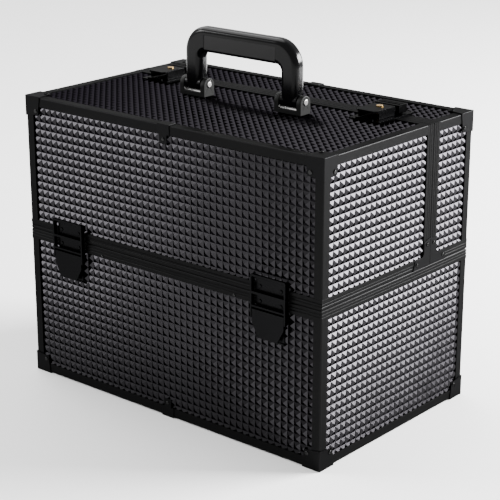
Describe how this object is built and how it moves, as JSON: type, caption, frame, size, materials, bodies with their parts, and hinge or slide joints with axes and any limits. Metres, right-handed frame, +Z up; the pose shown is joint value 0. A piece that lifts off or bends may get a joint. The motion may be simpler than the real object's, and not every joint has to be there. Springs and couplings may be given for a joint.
{
  "type": "makeup train case",
  "caption": "Black aluminium-trimmed makeup train case with pyramid-textured panels, split tilting top, rear flap, carrying handle, draw latches and cantilever trays.",
  "frame": {"origin": "middle of the case's footprint, on the surface the case stands on", "axes": "+X to the right along the latched front, +Y from the front to the hinge at the back, +Z up"},
  "size_m": [0.3618, 0.2331, 0.3476],
  "materials": {
    "panel_board": "fibreboard wrapped in black lining paper",
    "pyramid_skin": "glossy black plastic sheet embossed with small square pyramids",
    "edge_trim": "satin black anodised aluminium extrusion",
    "corner_metal": "satin black pressed steel",
    "rivet_metal": "glossy black domed rivets with bright highlights",
    "lining_fabric": "black velour over foam",
    "latch_metal": "semi-gloss black steel",
    "hinge_metal": "semi-gloss black steel",
    "steel_arm": "zinc plated steel strap",
    "bracket_plastic": "satin dark grey moulded plastic",
    "handle_gloss": "polished black plastic",
    "handle_insert": "satin black soft-touch insert",
    "key_brass": "polished brass",
    "mirror_frame": "black plastic",
    "mirror_glass": "silvered glass",
    "tray_plastic": "matte black moulded plastic",
    "divider_plastic": "matte dark grey plastic"
  },
  "bodies": {
    "base": {"base_board": "panel_board", "lower_boards": "panel_board", "lower_front_skin": "pyramid_skin", "lower_back_skin": "pyramid_skin", "lower_side_skins": "pyramid_skin", "lower_edge_trims": "edge_trim", "lower_rim_trims": "edge_trim", "base_corner_caps": "corner_metal", "base_joint_plates": "corner_metal", "lower_rivets": "rivet_metal", "base_pad": "lining_fabric", "front_latch_bases": "latch_metal", "hinge_lower_leaf": "hinge_metal", "hinge_pin": "hinge_metal", "tray_arm_brackets": "steel_arm"},
    "lid": {"lid_boards": "panel_board", "lid_front_skin": "pyramid_skin", "lid_top_skin": "pyramid_skin", "lid_side_skins": "pyramid_skin", "lid_edge_trims": "edge_trim", "lid_rim_trims": "edge_trim", "lid_corner_caps": "corner_metal", "lid_joint_plates": "corner_metal", "lid_rivets": "rivet_metal", "handle_brackets": "bracket_plastic", "front_latch_strikes": "latch_metal", "top_latch_bases": "latch_metal", "lid_arms": "steel_arm", "mirror_frame": "mirror_frame", "mirror_glass": "mirror_glass"},
    "flap": {"flap_boards": "panel_board", "flap_back_skin": "pyramid_skin", "flap_top_skin": "pyramid_skin", "flap_side_skins": "pyramid_skin", "flap_edge_trims": "edge_trim", "flap_rim_trims": "edge_trim", "flap_corner_caps": "corner_metal", "flap_joint_plates": "corner_metal", "flap_rivets": "rivet_metal", "top_latch_strikes": "latch_metal", "hinge_upper_leaf": "hinge_metal", "brush_band": "lining_fabric"},
    "handle": {"handle_bow": "handle_gloss", "handle_grip_insert": "handle_insert"},
    "front_lever_left": {"front_latch_lever_left": "latch_metal"},
    "front_link_left": {"front_latch_link_left": "latch_metal"},
    "front_lever_right": {"front_latch_lever_right": "latch_metal"},
    "front_link_right": {"front_latch_link_right": "latch_metal"},
    "top_lever_left": {"top_latch_lever_left": "latch_metal"},
    "top_hasp_left": {"top_latch_hasp_left": "latch_metal"},
    "key_plug_left": {"key_cylinder_left": "key_brass"},
    "top_lever_right": {"top_latch_lever_right": "latch_metal"},
    "top_hasp_right": {"top_latch_hasp_right": "latch_metal"},
    "key_plug_right": {"key_cylinder_right": "key_brass"},
    "tray_arms_front": {"tray_arms_front": "steel_arm"},
    "tray_arms_rear": {"tray_arms_rear": "steel_arm"},
    "lower_tray": {"lower_tray": "tray_plastic", "lower_tray_dividers": "divider_plastic"},
    "upper_tray": {"upper_tray": "tray_plastic", "upper_tray_dividers": "divider_plastic"}
  },
  "joints": [
    {"name": "lid_tilt", "type": "hinge", "parent": "base", "child": "lid", "pos_m": [0, 0.1145, 0.1485], "axis": [-1, 0, 0], "range_deg": [0, 95]},
    {"name": "flap_fold", "type": "hinge", "parent": "lid", "child": "flap", "pos_m": [0, 0.1145, 0.1485], "axis": [-1, 0, 0], "range_deg": [0, 60]},
    {"name": "handle_fold", "type": "hinge", "parent": "lid", "child": "handle", "pos_m": [0, -0.0019, 0.2922], "axis": [1, 0, 0], "range_deg": [0, 88]},
    {"name": "front_lever_left_turn", "type": "hinge", "parent": "base", "child": "front_lever_left", "pos_m": [-0.124, -0.11275, 0.1341], "axis": [-1, 0, 0], "range_deg": [0, 90]},
    {"name": "front_link_left_turn", "type": "hinge", "parent": "front_lever_left", "child": "front_link_left", "pos_m": [-0.124, -0.11335, 0.1296], "axis": [-1, 0, 0], "range_deg": [-104, 0]},
    {"name": "front_lever_right_turn", "type": "hinge", "parent": "base", "child": "front_lever_right", "pos_m": [0.124, -0.11275, 0.1341], "axis": [-1, 0, 0], "range_deg": [0, 90]},
    {"name": "front_link_right_turn", "type": "hinge", "parent": "front_lever_right", "child": "front_link_right", "pos_m": [0.124, -0.11335, 0.1296], "axis": [-1, 0, 0], "range_deg": [-104, 0]},
    {"name": "top_lever_left_turn", "type": "hinge", "parent": "lid", "child": "top_lever_left", "pos_m": [-0.128, 0.04325, 0.2875], "axis": [-1, 0, 0], "range_deg": [0, 90]},
    {"name": "top_hasp_left_turn", "type": "hinge", "parent": "flap", "child": "top_hasp_left", "pos_m": [-0.128, 0.05825, 0.2847], "axis": [-1, 0, 0], "range_deg": [0, 85]},
    {"name": "key_left_turn", "type": "hinge", "parent": "top_lever_left", "child": "key_plug_left", "pos_m": [-0.128, 0.03625, 0.2897], "axis": [0, 0, 1], "range_deg": [0, 90]},
    {"name": "top_lever_right_turn", "type": "hinge", "parent": "lid", "child": "top_lever_right", "pos_m": [0.128, 0.04325, 0.2875], "axis": [-1, 0, 0], "range_deg": [0, 90]},
    {"name": "top_hasp_right_turn", "type": "hinge", "parent": "flap", "child": "top_hasp_right", "pos_m": [0.128, 0.05825, 0.2847], "axis": [-1, 0, 0], "range_deg": [0, 85]},
    {"name": "key_right_turn", "type": "hinge", "parent": "top_lever_right", "child": "key_plug_right", "pos_m": [0.128, 0.03625, 0.2897], "axis": [0, 0, 1], "range_deg": [0, 90]},
    {"name": "tray_arms_front_swing", "type": "hinge", "parent": "base", "child": "tray_arms_front", "pos_m": [0, 0.03376, 0.1285], "axis": [-1, 0, 0], "range_deg": [0, 67]},
    {"name": "tray_arms_rear_swing", "type": "hinge", "parent": "base", "child": "tray_arms_rear", "pos_m": [0, 0.07876, 0.1285], "axis": [-1, 0, 0], "range_deg": [0, 67]},
    {"name": "lower_tray_level", "type": "hinge", "parent": "tray_arms_front", "child": "lower_tray", "pos_m": [0, -0.01987, 0.1735], "axis": [-1, 0, 0], "range_deg": [-67, 0]},
    {"name": "upper_tray_level", "type": "hinge", "parent": "tray_arms_front", "child": "upper_tray", "pos_m": [0, -0.0735, 0.2185], "axis": [-1, 0, 0], "range_deg": [-67, 0]}
  ],
  "couplings": [
    {"joint": "front_link_left_turn", "follows": "front_lever_left_turn", "ratio": -1.15},
    {"joint": "front_link_right_turn", "follows": "front_lever_right_turn", "ratio": -1.15},
    {"joint": "tray_arms_front_swing", "follows": "lid_tilt", "ratio": 0.7},
    {"joint": "tray_arms_rear_swing", "follows": "lid_tilt", "ratio": 0.7},
    {"joint": "lower_tray_level", "follows": "lid_tilt", "ratio": -0.7},
    {"joint": "upper_tray_level", "follows": "lid_tilt", "ratio": -0.7}
  ]
}
